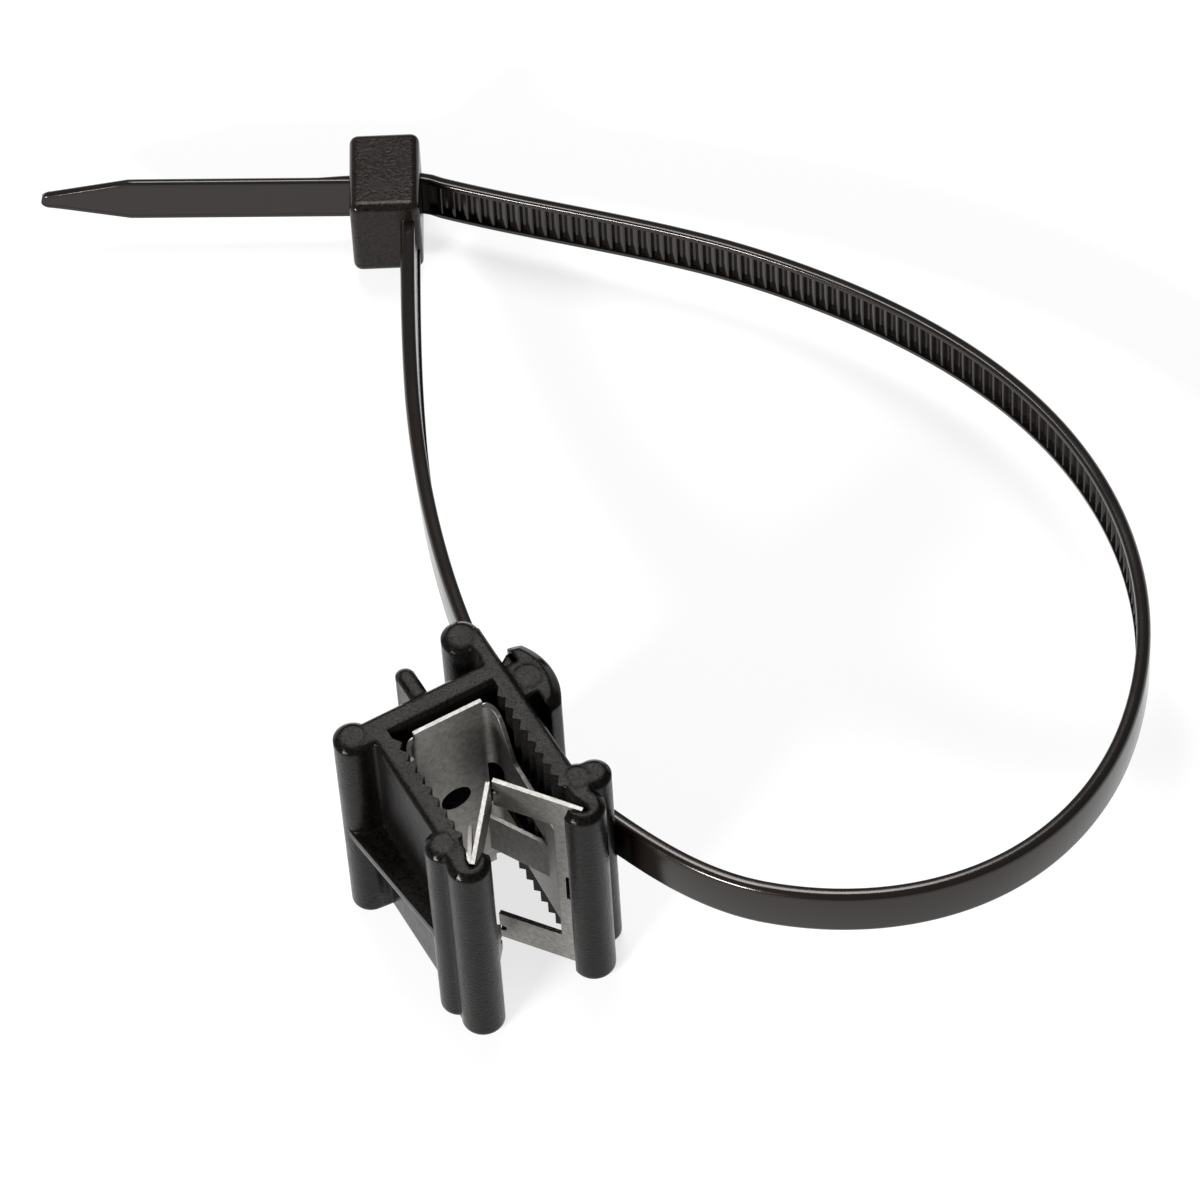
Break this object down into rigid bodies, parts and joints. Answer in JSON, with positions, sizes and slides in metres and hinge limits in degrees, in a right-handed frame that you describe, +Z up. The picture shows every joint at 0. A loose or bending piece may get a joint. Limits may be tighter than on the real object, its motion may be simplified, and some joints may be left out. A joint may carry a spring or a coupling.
{
  "type": "panel edge clip with cable tie",
  "caption": "Moulded edge clip with a toothed steel insert in its jaws and a saddle on one side holding a looped ladder-strap cable tie.",
  "frame": {"origin": "middle of the mouth of the jaws: on the mirror plane of the jaws, in the front plane, at mid height", "axes": "+Y from the mouth into the jaws, +X to the wall that carries the tie, +Z up along the panel edge"},
  "size_m": [0.0742, 0.1121, 0.025],
  "materials": {
    "clip_body": "satin moulded black polyamide",
    "spring_clip": "satin spring steel with bright sheared edges",
    "cable_tie": "smooth moulded black polyamide"
  },
  "bodies": {
    "root": {"clip_body": "clip_body", "spring_clip": "spring_clip", "cable_tie": "cable_tie"}
  },
  "joints": []
}
